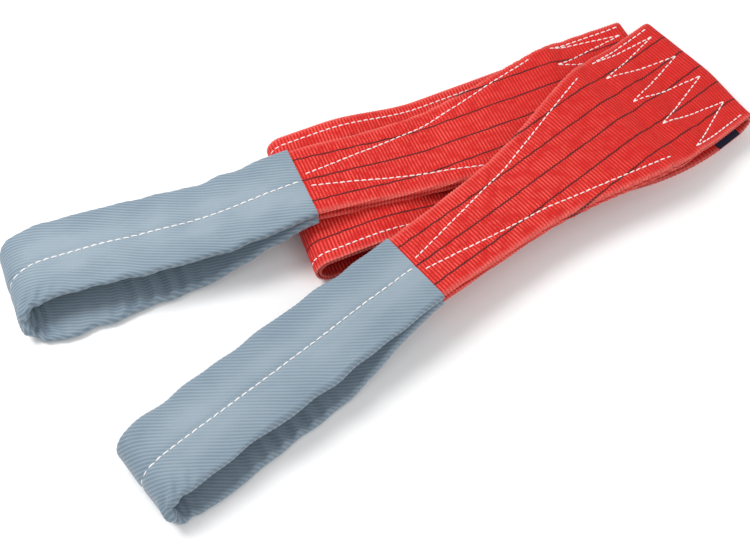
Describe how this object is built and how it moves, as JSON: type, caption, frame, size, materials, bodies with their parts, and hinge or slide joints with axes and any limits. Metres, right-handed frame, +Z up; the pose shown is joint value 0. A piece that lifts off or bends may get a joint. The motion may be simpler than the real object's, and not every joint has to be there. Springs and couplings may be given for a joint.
{
  "type": "flat web sling",
  "caption": "Two-ply flat webbing lifting sling with a sleeved, reinforced eye at each end, stored doubled and folded flat.",
  "frame": {"origin": "on the ground side of the outer return, midway between the folds and across the webbing", "axes": "+X along the returns from the middle fold to the right-hand folds, +Z up from the ground, +Y across"},
  "size_m": [0.7499, 0.3575, 0.0556],
  "materials": {
    "webbing": "woven polyester, ribbed, with black load stripes",
    "sleeve": "twill-woven wear sleeve with diagonal ribs",
    "thread": "twisted sewing thread",
    "label": "smooth woven label, blank"
  },
  "bodies": {
    "root": {"middle_outer_ply": "webbing", "middle_inner_ply": "webbing", "middle_edge_seams": "thread", "identification_label": "label", "label_seam": "thread"},
    "leg_a": {"inner_fold_outer_ply": "webbing", "inner_fold_inner_ply": "webbing", "leg_a_upper_ply": "webbing", "leg_a_lower_ply": "webbing", "leg_a_zigzag_seam": "thread", "leg_a_diagonal_seams": "thread", "leg_a_edge_seams": "thread"},
    "eye_a": {"eye_a_webbing": "webbing", "eye_a_sleeve": "sleeve", "eye_a_sleeve_seam": "thread"},
    "leg_b": {"outer_fold_outer_ply": "webbing", "outer_fold_inner_ply": "webbing", "leg_b_upper_ply": "webbing", "leg_b_lower_ply": "webbing", "leg_b_zigzag_seam": "thread", "leg_b_diagonal_seams": "thread", "leg_b_edge_seams": "thread"},
    "eye_b": {"eye_b_webbing": "webbing", "eye_b_sleeve": "sleeve", "eye_b_sleeve_seam": "thread"}
  },
  "joints": [
    {"name": "leg_b_unfold", "type": "hinge", "parent": "root", "child": "leg_b", "pos_m": [0.2115, 0.0095, 0.0153], "axis": [-0.3355, 0.9421, 0], "range_deg": [0, 160], "deforming": ["outer_fold_outer_ply", "outer_fold_inner_ply"]},
    {"name": "leg_a_unfold", "type": "hinge", "parent": "root", "child": "leg_a", "pos_m": [0.17, 0.024, 0.0153], "axis": [-0.0576, 0.9983, 0], "range_deg": [0, 144], "deforming": ["inner_fold_outer_ply", "inner_fold_inner_ply"]},
    {"name": "eye_b_lift", "type": "hinge", "parent": "leg_b", "child": "eye_b", "pos_m": [-0.1441, -0.11712, 0.0467], "axis": [-0.3355, 0.9421, 0], "range_deg": [0, 90]},
    {"name": "eye_a_lift", "type": "hinge", "parent": "leg_a", "child": "eye_a", "pos_m": [-0.21087, 0.00204, 0.0536], "axis": [-0.0576, 0.9983, 0], "range_deg": [0, 90]}
  ],
  "couplings": [
    {"joint": "leg_a_unfold", "follows": "leg_b_unfold", "ratio": 0.9}
  ]
}
